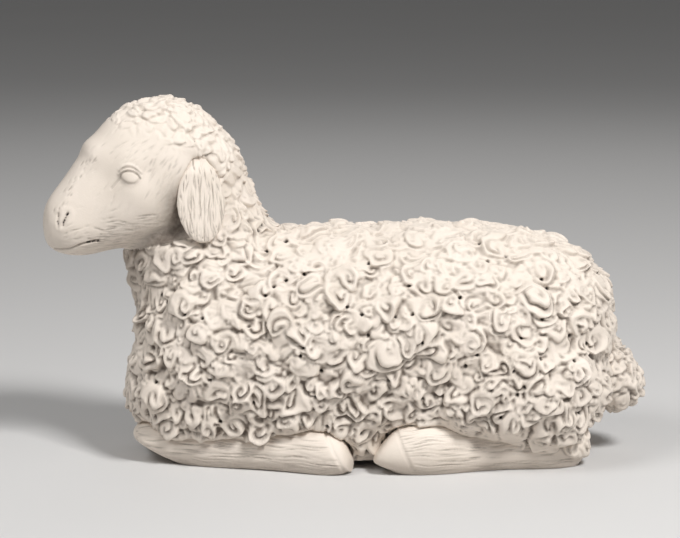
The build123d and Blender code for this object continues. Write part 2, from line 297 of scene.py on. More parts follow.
def line_distance(across, up, line):
    """Distance of points in the side view from a line of points."""
    nearest = np.full(len(across), np.inf)
    for (x0, y0), (x1, y1) in zip(line, line[1:]):
        dx, dy = x1 - x0, y1 - y0
        share = np.clip(((across - x0) * dx + (up - y0) * dy) / (dx * dx + dy * dy), 0.0, 1.0)
        nearest = np.minimum(nearest, np.hypot(across - x0 - share * dx, up - y0 - share * dy))
    return nearest


def downhill(out):
    """The share of straight down that runs along a surface with these normals."""
    return -UP - (out @ -UP)[:, None] * out


def head_measures(points):
    """How far points lie behind the nose, to the head's left and above the jaw line."""
    away = points - np.array([NECK_SEAT[0], NECK_SEAT[1], JAW_LINE])
    return MUZZLE_REACH - away @ FORWARD, away @ LEFT, away[:, 2]


def above_seat(points):
    """How far points lie above the neck's slanting seat."""
    return (points - NECK_SEAT) @ SEAT_NORMAL


# Edge of the wool on the head: height above the jaw line against distance behind the nose
WOOL_EDGE_SETBACK = (19.0, 24.0, 29.0, 34.0, 42.0, 46.5, 54.0, 60.0, 64.0)
WOOL_EDGE_HEIGHT = (60.0, 51.0, 46.7, 45.2, 43.6, 39.5, 38.5, 24.0, -10.0)
WOOL_EDGE_FADE = (-2.0, 3.5)


def above_wool_edge(points):
    """How far points of the head lie above the edge of its wool."""
    behind, _, above = head_measures(points)
    return above - np.interp(behind, WOOL_EDGE_SETBACK, WOOL_EDGE_HEIGHT)


def wool_cover(points):
    """1 where the surface is woolly, 0 on the bare face."""
    return np.where(above_seat(points) > 0.0, ease(*WOOL_EDGE_FADE, above_wool_edge(points)), 1.0)


class Wobble:
    """Seeded waves that shift points a little, to bend what is drawn on them."""

    WAVES = 7
    LENGTH_RANGE = (0.75, 1.4)

    def __init__(self, rng, wavelength, reach):
        ways = unit(rng.normal(size=(3, self.WAVES, 3)))
        lengths = wavelength * rng.uniform(*self.LENGTH_RANGE, (3, self.WAVES, 1))
        self.pulse = ways * 2 * np.pi / lengths
        self.phase = rng.uniform(0, 2 * np.pi, (3, self.WAVES))
        self.reach = reach / math.sqrt(self.WAVES)

    def shift(self, points):
        waves = [np.sin(points @ pulse.T + phase).sum(1) for pulse, phase in zip(self.pulse, self.phase)]
        return self.reach * np.stack(waves, 1)


class Curls:
    """Rolled locks scattered over a form, each a spiral of lips round its own centre."""

    # Main locks sit on lumps that stand this far out of their surroundings, where there is room
    LUMP_ROUNDS = 40
    PROMINENT = -0.22
    MAIN_ROOM = 7.6
    LEAST_MAIN_ROOM = 0.8
    MAIN_RADIUS = 6.4

    # Radius of the other locks as a share of their room, for little room and for much
    ROOM_ENDS = (3.3, 6.0)
    REACH_ENDS = (0.68, 0.8)

    # How locks differ: shares of the usual size, angles in radians
    RADIUS_RANGE = (0.85, 1.2)
    LIFT_RANGE = (0.8, 1.2)
    BASE_RANGE = (-0.3, 0.3)
    SQUASH_RANGE = (0.72, 1.2)
    BEND_RANGE = (-0.3, 0.3)
    SWING = 0.6
    SLOPE = 0.3
    CREST_SWING = 0.8

    # Radius taken up by one turn of a lip, and the fewest and most turns of a lock
    TURN_WIDTH_RANGE = (2.9, 4.4)
    TURN_ENDS = (0.7, 1.8)

    # Section of a lock: its swell, more of it for a small radius, its lips and its rim
    SWELL = 0.36
    SMALL_SWELL = 0.2
    SMALL_RADIUS_ENDS = (4.5, 2.6)
    TOP = 1.06
    LIP_CREST = 0.68
    LEAST_LIP = 0.12
    RIPPLE = 0.05
    RIPPLES = 4
    RIM_END = 1.15
    RIM_WIDTH = 0.35
    LEVEL_ENDS = (1.1, 0.7)

    # Waves that bend the locks: wavelength and reach in millimetres
    WOBBLES = ((12.0, 1.3), (5.0, 0.28))

    def __init__(self, skin, spacing, lift, rng, share=0.35):
        picks = np.flatnonzero(rng.random(skin.count) < share)
        lumps = skin.hollows(self.LUMP_ROUNDS)[0][picks]
        order = np.where(lumps < self.PROMINENT, lumps, rng.random(len(picks)))
        picks = picks[np.argsort(order)]
        main = np.sort(order) < self.PROMINENT
        calm = skin.calm(SMALL_CALM_ROUNDS)
        points = skin.at[picks]
        room = spacing(points, calm[picks])
        main = main & (room > self.MAIN_ROOM * self.LEAST_MAIN_ROOM)
        keep_off = np.where(main, np.maximum(self.MAIN_ROOM, room), room)
        taken = np.zeros(skin.count, bool)
        seats = []
        for i, pick in enumerate(picks):
            if room[i] > 0 and not taken[pick]:
                seats.append(i)
                taken[skin.near(points[i], keep_off[i])] = True
        self.count = len(seats)
        self.centre = points[seats]
        self.out = calm[picks][seats]
        reach = room * np.interp(room, self.ROOM_ENDS, self.REACH_ENDS)
        self.radius = np.where(main, self.MAIN_RADIUS, reach)[seats]
        self.radius = self.radius * rng.uniform(*self.RADIUS_RANGE, self.count)
        self.lift = lift(self.centre, self.out) * rng.uniform(*self.LIFT_RANGE, self.count)
        self.base = self.lift * rng.uniform(*self.BASE_RANGE, self.count)
        down = unit(downhill(self.out))
        swing = rng.normal(0.0, self.SWING, self.count)
        side = np.cross(self.out, down)
        self.along = down * np.cos(swing)[:, None] + side * np.sin(swing)[:, None]
        self.across = np.cross(self.out, self.along)
        self.turns = np.clip(self.radius / rng.uniform(*self.TURN_WIDTH_RANGE, self.count), *self.TURN_ENDS)
        self.swell = self.SWELL + self.SMALL_SWELL * ease(*self.SMALL_RADIUS_ENDS, self.radius)
        self.hand = rng.choice((-1.0, 1.0), self.count)
        self.phase = rng.random(self.count)
        self.squash = rng.uniform(*self.SQUASH_RANGE, self.count)
        self.bend = rng.uniform(*self.BEND_RANGE, (self.count, 2))
        self.slope = rng.normal(0.0, self.SLOPE, (self.count, 2))
        self.crest = rng.normal(0.0, self.CREST_SWING, self.count)
        self.wobbles = [Wobble(rng, wavelength, reach) for wavelength, reach in self.WOBBLES]

    def lip(self, band):
        """Section of a lip from its inner crease over a rounded crest to its steep outer side."""
        climb = np.clip(band / self.LIP_CREST, 0.0, 1.0)
        drop = np.clip((1.0 - band) / (1.0 - self.LIP_CREST), 0.0, 1.0)
        return np.sin(np.pi / 2 * climb) ** 1.4 * np.sin(np.pi / 2 * drop) ** 0.7

    def raise_on(self, skin):
        """Height of the highest lock over each point."""
        bent = skin.at + sum(wobble.shift(skin.at) for wobble in self.wobbles)
        height = np.zeros(skin.count)
        for i in range(self.count):
            radius = self.radius[i]
            some = skin.near(self.centre[i], radius * 1.6 + 2.0)
            away = bent[some] - self.centre[i]
            x = away @ self.across[i] / radius
            y = away @ self.along[i] / (radius * self.squash[i])
            x = x + self.bend[i, 0] * y * y
            y = y + self.bend[i, 1] * x * x
            r = np.hypot(x, y)
            angle = np.arctan2(y, x)
            wind = self.turns[i] * r - self.hand[i] * angle / (2 * np.pi) + self.phase[i]
            band = wind - np.floor(wind)
            open_side = (0.5 + 0.5 * np.cos(angle - np.pi / 2 - self.crest[i])) ** 0.6
            ridge = self.lip(band) * (self.LEAST_LIP + (1.0 - self.LEAST_LIP) * open_side)
            ridge = ridge + self.RIPPLE * np.sin(2 * np.pi * self.RIPPLES * wind)
            dome = np.sqrt(np.clip(1.0 - r * r, 0.0, 1.0))
            tilt = 1.0 + self.slope[i, 0] * x + self.slope[i, 1] * y
            rim = np.sin(np.pi / 2 * np.clip((self.RIM_END - r) / self.RIM_WIDTH, 0.0, 1.0))
            level = np.abs(away @ self.out[i]) / radius
            profile = self.swell[i] * dome + (self.TOP - self.swell[i]) * ridge
            lock = (self.base[i] + self.lift[i] * tilt * profile) * rim
            height[some] = np.maximum(height[some], lock * ease(*self.LEVEL_ENDS, level))
        return height


# Waves that bend a hair stroke: wavelength and reach in millimetres
STROKE_WOBBLE = (13.0, 0.3)


def scratch(skin, rng, seats, ways, lengths, width, depths):
    """Fine bent strokes cut into the surface, tapering at both ends. Returns how deep each point goes."""
    bent = skin.at + Wobble(rng, *STROKE_WOBBLE).shift(skin.at)
    cut_depth = np.zeros(skin.count)
    for seat, way, length, depth in zip(seats, ways, lengths, depths):
        some = skin.near(skin.at[seat], length * 0.5 + 2 * width)
        away = bent[some] - bent[seat]
        x = away @ way / (length * 0.5)
        side = away - (away @ way)[:, None] * way
        out = skin.out[some]
        y = np.linalg.norm(side - np.einsum("ij,ij->i", side, out)[:, None] * out, axis=1)
        stroke = depth * np.exp(-((y / width) ** 2)) * np.clip(1.0 - x * x, 0.0, 1.0)
        cut_depth[some] = np.maximum(cut_depth[some], stroke)
    return cut_depth


# Hollows that hold the wash, from narrow grooves to broad dips: rounds of averaging that find them,
# the most that they hold, and the depths in millimetres where that starts and ends. The darkening of the
# broad dips is partly painted shade
WASH_AND_PAINTED_SHADE_HOLLOWS = ((3, 0.85, 0.03, 0.22), (14, 0.5, 0.06, 0.55), (45, 0.4, 0.15, 1.3))


def add_wash_and_painted_shade(skin, strength, marks):
    """Stores how much of the wash colour each point takes: wash in the hollows, partly painted shade in the
    broad dips, and marks of its own, painted shade among them.
    """
    depths = skin.hollows(*(rounds for rounds, *_ in WASH_AND_PAINTED_SHADE_HOLLOWS))
    clear = np.ones(skin.count)
    for depth, (_, most, shallow, deep) in zip(depths, WASH_AND_PAINTED_SHADE_HOLLOWS):
        clear *= 1.0 - most * ease(shallow, deep, depth)
    wash_and_painted_shade = np.minimum(skin.spread((1.0 - clear) * strength, 1), 1.0)
    skin.keep("wash_and_painted_shade", 1.0 - (1.0 - wash_and_painted_shade) * (1.0 - marks))


def prick(skin, seats, radius, depth):
    """Air bubbles broken open in the casting."""
    pit = np.zeros(skin.count)
    for seat in seats:
        some = skin.near(seat, radius * 1.6)
        away = np.linalg.norm(skin.at[some] - seat, axis=1)
        pit[some] = np.maximum(pit[some], ease(radius * 1.3, radius * 0.5, away))
    skin.at -= skin.out * (pit * depth)[:, None]
    # The pit mask also lays near-black painted shade into the pits
    skin.keep("pit", pit)


# Fleece

CASTING = ("fleece_body", "head", "belly_plate")
FORM_GRAIN = 0.8 * MM
FORM_SOFTENING = 60
# Hollows in the front of the breast and the swelling below them: height above the floor, width and
# depth, in millimetres
BREAST_HOLLOWS = ((69.0, 9.0, 2.4), (49.0, 8.0, 2.0), (28.0, 8.0, -2.2))
# Where the hem of the fleece draws back from the hind legs, in side view: middle, half sizes and depth
HOCK_HOLLOW = (58.0, 9.0)
HOCK_HOLLOW_SIZE = (16.0, 9.0)
HOCK_HOLLOW_DEPTH = 8.0

# Where these hollows start and where they are full: along the body, and aside from its middle
BREAST_PLACE = (-50.0, -78.0)
HOCK_HOLLOW_ASIDE = (18.0, 32.0)

FILLER_SIZE = 0.6
LEAST_FILLER = 3.0

# Where locks of the flank turn into those of the cap: along the body, and above the neck's seat
NECK_PLACE = (-20.0, -40.0)
CAP_SPACING_ENDS = (-18.0, 24.0)
CAP_LIFT_ENDS = (-10.0, 24.0)


def up_neck(points, ends):
    """0 on the flank, rising to 1 on the head."""
    return ease(*ends, above_seat(points)) * ease(*NECK_PLACE, points[:, 0])


def curl_room(settings):
    """Spacing of locks over the whole figurine, in millimetres."""
    flank = settings.curl_spacing / MM
    cap = settings.cap_spacing / MM

    def room(points, out):
        size = flank * (0.85 + 0.15 * ease(10.0, 40.0, points[:, 2]))
        size = size + (cap - size) * up_neck(points, CAP_SPACING_ENDS)
        return np.where(wool_cover(points) > 0.25, size, 0.0)

    return room


def curl_rise(settings):
    """Lift of locks over the whole figurine, in millimetres."""
    flank = settings.curl_lift / MM
    cap = settings.cap_lift / MM

    def rise(points, out):
        lift = flank * (1.0 - 0.3 * ease(0.35, 0.9, out[:, 2]))
        lift = lift * (1.0 + 0.15 * ease(45.0, 15.0, points[:, 2]))
        cap_edge = 0.45 + 0.55 * ease(0.0, 10.0, above_wool_edge(points))
        return lift + (cap * cap_edge - lift) * up_neck(points, CAP_LIFT_ENDS)

    return rise


def lesser_room(room):
    """Spacing of the small locks that fill the gaps between the others, none where those are small."""

    def small_room(points, out):
        size = room(points, out) * FILLER_SIZE
        return np.where(size > LEAST_FILLER, size, 0.0)

    return small_room


def lesser_rise(rise):
    """Lift of the small locks."""
    return lambda points, out: rise(points, out) * FILLER_SIZE


# Underside of the fleece, by how far it faces down, and how much flatter its locks are
UNDERSIDE_ENDS = (-0.55, -0.85)
UNDERSIDE_FLATTER = 0.85
WOOL_SINK = 0.5
LEAN_ENDS = (0.3, 1.0)
ROUNDING = 0.5
FLOOR_CLEARANCE = 0.4


def grow_wool(skin, layers, settings):
    """Raises the locks over a skin, lets their lips lean down and rounds them off."""
    calm = skin.calm(CALM_ROUNDS)
    cover = wool_cover(skin.at)
    height = np.max([layer.raise_on(skin) for layer in layers], 0) * cover
    underside = ease(*UNDERSIDE_ENDS, calm[:, 2])
    height = height * (1.0 - UNDERSIDE_FLATTER * underside)
    usual = curl_rise(settings)(skin.at, calm)
    sink = WOOL_SINK * usual * cover * (1.0 - underside)
    lean = settings.droop * ease(*LEAN_ENDS, height / usual) * height
    skin.at += calm * (height - sink)[:, None] + downhill(calm) * lean[:, None]
    skin.relax(ROUNDING * cover)
    skin.at[:, 2] = np.maximum(skin.at[:, 2], FLOOR_CLEARANCE)


# Slabs of the fleece from breast to rump, and where along the body each one ends, in millimetres
FLEECE_SLABS = (
    "fleece_breast", "fleece_shoulder", "fleece_ribs", "fleece_flank",
    "fleece_loin", "fleece_hip", "fleece_rump",
)
SLAB_ENDS = (-48.0, -22.0, 1.0, 26.0, 50.0, 74.0)

# Pinholes lie in hollows at least this deep, found by rounds of averaging, that don't face down
PINHOLES = 260
PINHOLE_RADIUS = 0.6
PINHOLE_DEPTH = 1.2
HOLLOW_ROUNDS = 6
LEAST_HOLLOW = 0.25
LOWEST_FACING = -0.4

# Wash on the fleece, and how much less of it is put high up and on what faces up: painted shade that leaves
# the low, downward-facing fleece darker
FLEECE_WASH = 1.45
LESS_PAINTED_SHADE_HIGH_UP = 0.45
LESS_PAINTED_SHADE_ON_TOP = 0.45
# Painted shadow on the throat under the jaw, in side view: middle, half size and strength
THROAT = (-81.0, 80.0)
THROAT_SIZE = 9.0
THROAT_PAINTED_SHADOW = 0.45


def build_fleece(whole, layers, settings, paint):
    """Fleece from the neck's seat down, cut into slabs."""
    rng = np.random.default_rng(settings.seed + 4)
    skin = Skin(even_mesh(whole, settings.grain))
    grow_wool(skin, layers, settings)
    skin.refresh()
    deep = skin.hollows(HOLLOW_ROUNDS)[0] > LEAST_HOLLOW
    hollows = np.flatnonzero(deep & (skin.out[:, 2] > LOWEST_FACING))
    prick(skin, skin.at[rng.choice(hollows, PINHOLES)], PINHOLE_RADIUS, PINHOLE_DEPTH)
    skin.refresh()
    facing_up = skin.spread(skin.out[:, 2], CALM_ROUNDS)
    # Painted shade: less wash high up and on what faces up, so the low, downward-facing fleece is darker
    strength = FLEECE_WASH - LESS_PAINTED_SHADE_HIGH_UP * ease(20.0, 70.0, skin.at[:, 2])
    strength = strength - LESS_PAINTED_SHADE_ON_TOP * ease(0.2, 0.9, facing_up)
    # Painted shadow on the throat under the jaw
    throat_shadow = bell(np.linalg.norm(skin.at[:, ::2] - THROAT, axis=1), THROAT_SIZE)
    add_wash_and_painted_shade(skin, strength, THROAT_PAINTED_SHADOW * throat_shadow)
    skin.mesh.shade_smooth()
    rest = cut(to_bmesh(skin.mesh), NECK_SEAT, SEAT_NORMAL)
    for name, end in zip(FLEECE_SLABS, SLAB_ENDS):
        slab = cut(rest.copy(), (end, 0, 0), (1, 0, 0))
        cut(rest, (end, 0, 0), (-1, 0, 0))
        finish_piece(slab, name, "fleece_body", paint)
    finish_piece(rest, FLEECE_SLABS[-1], "fleece_body", paint)


# Head. Features are drawn in the head's side view, as distances behind the nose and above the
# jaw line in millimetres, and appear on both sides.

HEAD_GRAIN = 0.41 * MM
HEAD_MARGIN = 4.0
HEAD_OVERLAP = 0.6

EYE = (30.1, 29.8)
EYE_HALF_LENGTH = 3.5
EYE_TILT = 0.35
UPPER_LID_ARCH = 2.1
LOWER_LID_ARCH = 2.3
EYEBALL_RADIUS = 3.5
EYEBALL_RISE = 1.25
MOUTH_DEPTH = 1.0
MOUTH_WIDTH = 0.42
MOUTH = ((3.5, 1.2), (5.3, 1.5), (8.5, 2.2), (12.2, 3.8), (16.0, 4.7), (19.0, 4.9))
NOSTRIL = ((7.5, 15.8), (6.6, 13.6), (5.5, 11.0))
NOSTRIL_FRONT = ((4.3, 15.2), (3.9, 12.8), (4.1, 10.3))
NOSTRIL_DEPTH = 0.35
NOSTRIL_WIDTH = 0.5
NOSTRIL_RIM_RISE = 0.2
NOSTRIL_RIM_OFFSET = 1.6
NOSTRIL_RIM_WIDTH = 1.0
MOUTH_GAP_START = 14.5
TEAR_DUCT_DEPTH = 0.3
TEAR_DUCT_WIDTH = 0.5
TEAR_DUCT = ((26.6, 29.5), (25.2, 28.0), (23.2, 25.7))
BRIDGE_RISE = 0.35
BRIDGE_WIDTH = 1.6
NOSE_BRIDGE = ((18.4, 36.4), (13.6, 32.1), (9.9, 25.3), (7.0, 20.3), (4.6, 16.8))

# How far from the middle of the head the sides of the muzzle, the tear ducts and the eyes start
MUZZLE_SIDE = 5.0
TEAR_DUCT_SIDE = 8.0
EYE_SIDE = 10.0

FOREHEAD = (18.0, 40.0)
FOREHEAD_RADIUS = 4.2
FOREHEAD_RISE = 1.3

# Broad swellings and hollows of each side of the face: place, radius and rise
SWELLINGS = (
    ((30.5, 36.5), 5.0, 0.6),
    ((31.0, 24.5), 4.5, 0.45),
    ((22.0, 22.0), 6.0, -0.6),
    ((9.5, 8.0), 6.0, 0.6),
    ((20.0, 12.0), 5.0, -0.5),
    ((41.0, 13.0), 10.0, 1.4),
    ((10.0, -0.5), 5.0, 0.5),
    ((36.5, 32.0), 3.5, -0.5),
    ((21.5, 29.0), 4.5, -0.5),
    ((38.0, 20.5), 6.0, 0.6),
)

# Wool that swells over the root of the ear, the hollow behind the jaw, and the painted shadow under the jaw
# and up along the front of the ear
EAR_ROOT = (56.0, 41.0)
EAR_ROOT_RADIUS = 4.0
EAR_ROOT_RISE = 1.2
JAW_NOOK = ((34.0, 0.0), (44.0, 4.0), (51.0, 10.0))
JAW_NOOK_WIDTH = 5.0
JAW_NOOK_DEPTH = 2.5
JAW_PAINTED_SHADOW = ((36.0, 1.0), (44.0, 4.0), (49.0, 9.0), (48.5, 20.0))
JAW_PAINTED_SHADOW_WIDTH = 6.5
JAW_PAINTED_SHADOW_STRENGTH = 0.95
FACE_HAIR_WASH = 0.35


def eye_relief(behind, above):
    """Eyeball under a heavy folded upper lid, running softly into the lower one."""
    u = (behind - EYE[0]) / EYE_HALF_LENGTH
    b = above - EYE[1] + EYE_TILT * u
    arch = np.clip(1.0 - u * u, 0.0, 1.0)
    over = b - UPPER_LID_ARCH * arch ** 0.7
    under = -LOWER_LID_ARCH * arch ** 0.8 - b
    opening = ease(0.12, -0.2, over) * ease(0.5, -0.6, under) * (np.abs(u) < 1.0)
    ball = EYEBALL_RISE * arch ** 0.5 * np.sqrt(np.clip(1.0 - (b / EYEBALL_RADIUS) ** 2, 0.0, 1.0))
    fade = ease(1.4, 0.85, np.abs(u))
    upper = 1.15 * bell(over - 0.65, 0.6) - 0.3 * bell(over - 1.65, 0.32) + 0.45 * bell(over - 2.3, 0.7)
    lower = 0.25 * bell(under - 0.5, 0.9)
    crease = 0.45 * bell(over, 0.28) + 0.1 * bell(under, 0.5)
    return opening * ball + (1.0 - opening) * (upper + lower) * fade - crease * (np.abs(u) < 1.05)


def face_relief(points):
    """Rise of the face's features over the smooth head."""
    behind, to_left, above = head_measures(points)
    aside = np.abs(to_left)
    rise = np.zeros(len(points))
    for (s, z), radius, height in SWELLINGS:
        rise += height * bell(np.hypot(behind - s, above - z), radius) * ease(2.0, 7.0, aside)
    rise += FOREHEAD_RISE * bell(np.hypot(behind - FOREHEAD[0], above - FOREHEAD[1]), FOREHEAD_RADIUS)
    rise += eye_relief(behind, above) * (aside > EYE_SIDE)
    rise += BRIDGE_RISE * bell(line_distance(behind, above, NOSE_BRIDGE), BRIDGE_WIDTH)
    mouth = bell(line_distance(behind, above, MOUTH), MOUTH_WIDTH)
    rise -= MOUTH_DEPTH * mouth * (0.6 + 0.4 * ease(8.0, 13.0, behind))
    for line in (NOSTRIL, NOSTRIL_FRONT):
        slit = bell(line_distance(behind, above, line), NOSTRIL_WIDTH)
        rise -= NOSTRIL_DEPTH * slit * (aside > MUZZLE_SIDE)
    rim = bell(line_distance(behind, above, NOSTRIL) - NOSTRIL_RIM_OFFSET, NOSTRIL_RIM_WIDTH)
    rise += NOSTRIL_RIM_RISE * rim * (aside > MUZZLE_SIDE)
    duct = bell(line_distance(behind, above, TEAR_DUCT), TEAR_DUCT_WIDTH)
    rise -= TEAR_DUCT_DEPTH * duct * (aside > TEAR_DUCT_SIDE)
    return rise


# Hair strokes on the face: middle of a patch and its half sizes, behind the nose and above the
# jaw, how the strokes run there (back and up), their number, longest stroke and deepest
FACE_STROKES = (
    ((31.0, 6.0), (12.0, 6.0), (1.0, 0.14), 460, 12.0, 0.30),
    ((44.0, 22.0), (5.0, 11.0), (0.5, 0.9), 320, 8.5, 0.25),
    ((34.0, 40.0), (8.0, 4.5), (0.75, 0.6), 140, 6.0, 0.2),
    ((12.0, 9.0), (6.0, 5.0), (1.0, 0.25), 60, 6.0, 0.2),
    ((20.0, 22.0), (9.0, 7.0), (0.7, 0.7), 60, 6.0, 0.14),
)
FACE_STROKE_WIDTH = 0.3
FACE_STROKE_STRAY = 0.12

# Short strokes along the bridge of the nose
BRIDGE_STROKES = 50
BRIDGE_STROKE_WAY = (0.62, 0.8)
BRIDGE_STROKE_STRAY = 0.08
BRIDGE_STROKE_LENGTHS = (1.5, 4.0)
BRIDGE_STROKE_DEPTHS = (0.12, 0.32)

# Pits in the nostrils, in the corner of the mouth and in the wool cap
NOSTRIL_PITS = 32
MOUTH_PITS = 36
CAP_PITS = 14
FACE_PIT_RADIUS = 0.24
FACE_PIT_DEPTH = 0.5


def face_strokes(skin, rng):
    """Depth of the fine hair strokes cut into the bare face."""
    behind, to_left, above = head_measures(skin.at)
    aside = np.abs(to_left) > MUZZLE_SIDE
    depth = np.zeros(skin.count)
    for (s, z), (half_length, half_height), (back, up), count, longest, deepest in FACE_STROKES:
        odds = bell(np.hypot((behind - s) / half_length, (above - z) / half_height), 1.0) * aside
        seats = rng.choice(skin.count, count, p=odds / odds.sum())
        ways = unit(-FORWARD * back + UP * up + rng.normal(0.0, FACE_STROKE_STRAY, (count, 3)))
        lengths = longest * rng.uniform(0.4, 1.0, count)
        depths = deepest * rng.uniform(0.3, 1.0, count)
        depth = np.maximum(depth, scratch(skin, rng, seats, ways, lengths, FACE_STROKE_WIDTH, depths))
    odds = bell(line_distance(behind, above, NOSE_BRIDGE), 1.0) * aside
    seats = rng.choice(skin.count, BRIDGE_STROKES, p=odds / odds.sum())
    back, up = BRIDGE_STROKE_WAY
    ways = unit(-FORWARD * back + UP * up + rng.normal(0.0, BRIDGE_STROKE_STRAY, (BRIDGE_STROKES, 3)))
    lengths = rng.uniform(*BRIDGE_STROKE_LENGTHS, BRIDGE_STROKES)
    depths = rng.uniform(*BRIDGE_STROKE_DEPTHS, BRIDGE_STROKES)
    depth = np.maximum(depth, scratch(skin, rng, seats, ways, lengths, FACE_STROKE_WIDTH, depths))
    eye_clear = ease(3.5, 5.5, np.hypot(behind - EYE[0], above - EYE[1]))
    return depth * (1.0 - wool_cover(skin.at)) * eye_clear


def face_pits(skin, rng):
    """Seats of the small pits in the nostrils, in the corner of the mouth and in the wool cap."""
    behind, to_left, above = head_measures(skin.at)
    slits = [line_distance(behind, above, line) for line in (NOSTRIL, NOSTRIL_FRONT)]
    slit = np.flatnonzero((np.min(slits, 0) < 0.3) & (np.abs(to_left) > MUZZLE_SIDE))
    corner = np.flatnonzero((line_distance(behind, above, MOUTH) < 0.2) & (behind > MOUTH_GAP_START))
    woolly = (wool_cover(skin.at) > 0.9) & (above_seat(skin.at) > 2.0)
    cap = np.flatnonzero(woolly & (skin.hollows(HOLLOW_ROUNDS)[0] > 0.1))
    counts = ((slit, NOSTRIL_PITS), (corner, MOUTH_PITS), (cap, CAP_PITS))
    return np.concatenate([skin.at[rng.choice(seats, count)] for seats, count in counts])


def build_head(whole, layers, settings, paint):
    """Head from the neck's seat up, with its face and wool cap."""
    rng = np.random.default_rng(settings.seed + 5)
    top = cut(whole, NECK_SEAT - SEAT_NORMAL * HEAD_MARGIN, -SEAT_NORMAL)
    skin = Skin(even_mesh(top, HEAD_GRAIN))
    calm = skin.calm(CALM_ROUNDS)
    bare = (above_seat(skin.at) > 0.0) * (1.0 - wool_cover(skin.at))
    behind, to_left, above = head_measures(skin.at)
    hair = face_strokes(skin, rng)
    relief = face_relief(skin.at) * bare - hair
    root = bell(np.hypot(behind - EAR_ROOT[0], above - EAR_ROOT[1]), EAR_ROOT_RADIUS)
    relief += EAR_ROOT_RISE * root * ease(6.0, 10.0, np.abs(to_left))
    under_jaw = ease(28.0, 44.0, behind) * bare
    nook = bell(line_distance(behind, above, JAW_NOOK), JAW_NOOK_WIDTH) * under_jaw
    relief -= JAW_NOOK_DEPTH * nook * ease(0.0, 6.0, above_seat(skin.at))
    # Painted shadow under the jaw and up along the front of the ear
    jaw_shadow = bell(line_distance(behind, above, JAW_PAINTED_SHADOW), JAW_PAINTED_SHADOW_WIDTH) * under_jaw
    marks = np.maximum(FACE_HAIR_WASH * ease(0.04, 0.3, hair), JAW_PAINTED_SHADOW_STRENGTH * jaw_shadow)
    grow_wool(skin, layers, settings)
    skin.at += calm * relief[:, None]
    skin.refresh()
    prick(skin, face_pits(skin, rng), FACE_PIT_RADIUS, FACE_PIT_DEPTH)
    skin.refresh()
    add_wash_and_painted_shade(skin, 1.0 - 0.5 * wool_cover(skin.at), marks)
    skin.mesh.shade_smooth()
    head = cut(to_bmesh(skin.mesh), NECK_SEAT - SEAT_NORMAL * HEAD_OVERLAP, -SEAT_NORMAL)
    finish_piece(head, "head_casting", "head", paint)


def build_casting(settings, paint):
    """Fleece and head, with the same locks laid out over both."""
    rng = np.random.default_rng(settings.seed)
    form = Skin(even_mesh(solid_copy(*CASTING), FORM_GRAIN, FORM_SOFTENING))
    front = ease(*BREAST_PLACE, form.at[:, 0]) * (above_seat(form.at) < 0.0)
    for height, width, depth in BREAST_HOLLOWS:
        form.at[:, 0] += depth * bell(form.at[:, 2] - height, width) * front
    away = np.linalg.norm((form.at[:, ::2] - HOCK_HOLLOW) / HOCK_HOLLOW_SIZE, axis=1)
    outside = np.sign(form.at[:, 1]) * ease(*HOCK_HOLLOW_ASIDE, np.abs(form.at[:, 1]))
    form.at[:, 1] -= HOCK_HOLLOW_DEPTH * bell(away, 1.0) * outside
    form.refresh()
    room = curl_room(settings)
    rise = curl_rise(settings)
    layers = (
        Curls(form, room, rise, rng),
        Curls(form, lesser_room(room), lesser_rise(rise), rng, share=0.6),
    )
    whole = to_bmesh(form.mesh)
    build_fleece(whole.copy(), layers, settings, paint)
    build_head(whole, layers, settings, paint)


# Ears, tail and legs

EAR_GRAIN = 0.26 * MM
LEG_GRAIN = 0.36 * MM
TAIL_GRAIN = 0.45 * MM
CASTING_SOFTENING = 8
CURLY_SOFTENING = 10

# Hair strokes: their number, how far they stray from their way, lengths, width and depths
EAR_HAIR = (300, 0.09, (7.0, 22.0), 0.24, (0.12, 0.45))
LEG_HAIR = (800, 0.06, (8.0, 26.0), 0.29, (0.08, 0.36))
EAR_HAIR_WASH = 0.55
LEG_HAIR_WASH = 0.5

EAR_ROOT_SWELL = 0.45
EAR_SINK = 1.8

# Locks of the tail, as shares of those on the flank, and how deep they sit as a share of their lift
TAIL_CURL_SPACING = 0.66
TAIL_CURL_LIFT = 0.72
TAIL_SINK = 0.4
TAIL_WASH = 1.25

# Lines across the legs in side view: two points each, in millimetres along the body and above the
# floor, in the order that has the end of the leg on the right. A hoof starts at its coronet, and the
# slopes close off the toe and the underside of the front knee.
CORONETS = {"front": ((-2.2, 3.8), (-10.6, 20.4)), "hind": ((18.3, 18.8), (24.7, 3.4))}
SLOPES = {
    "front": (((3.5, 5.3), (-5.6, 21.9)), ((-81.6, 8.2), (-67.0, 0.3))),
    "hind": (((17.9, 17.6), (10.4, 7.5)),),
}
SLOPE_ROUNDING = 0.8
CORONET_DEPTH = 0.45
CORONET_WIDTH = 0.6
HOOF_STEP = 0.4
# Painted shade that darkens the legs towards the floor
SOLE_PAINTED_SHADE = 0.3
# Every so many points are enough to find which way a leg runs
AXIS_STEP = 40

# Edge of the wool on the back of the hind legs: height above the floor against place along the body
HOCK_WOOL_PLACE = (54.0, 72.0, 83.0, 92.0)
HOCK_WOOL_HEIGHT = (20.0, 9.5, 5.5, 3.5)
HOCK_CURL_SIZE = 0.75
HOCK_CURL_BASE = 0.2


def same(value):
    """The same measure for every lock."""
    return lambda points, out: np.full(len(points), value)


def comb(skin, rng, way, hair):
    """Hair strokes all over a skin, running one way. Returns how deep each point goes."""
    count, stray, lengths, width, depths = hair
    seats = rng.choice(skin.count, count)
    ways = unit(way + rng.normal(0, stray, (count, 3)))
    return scratch(
        skin, rng, seats, ways, rng.uniform(*lengths, count), width, rng.uniform(*depths, count))


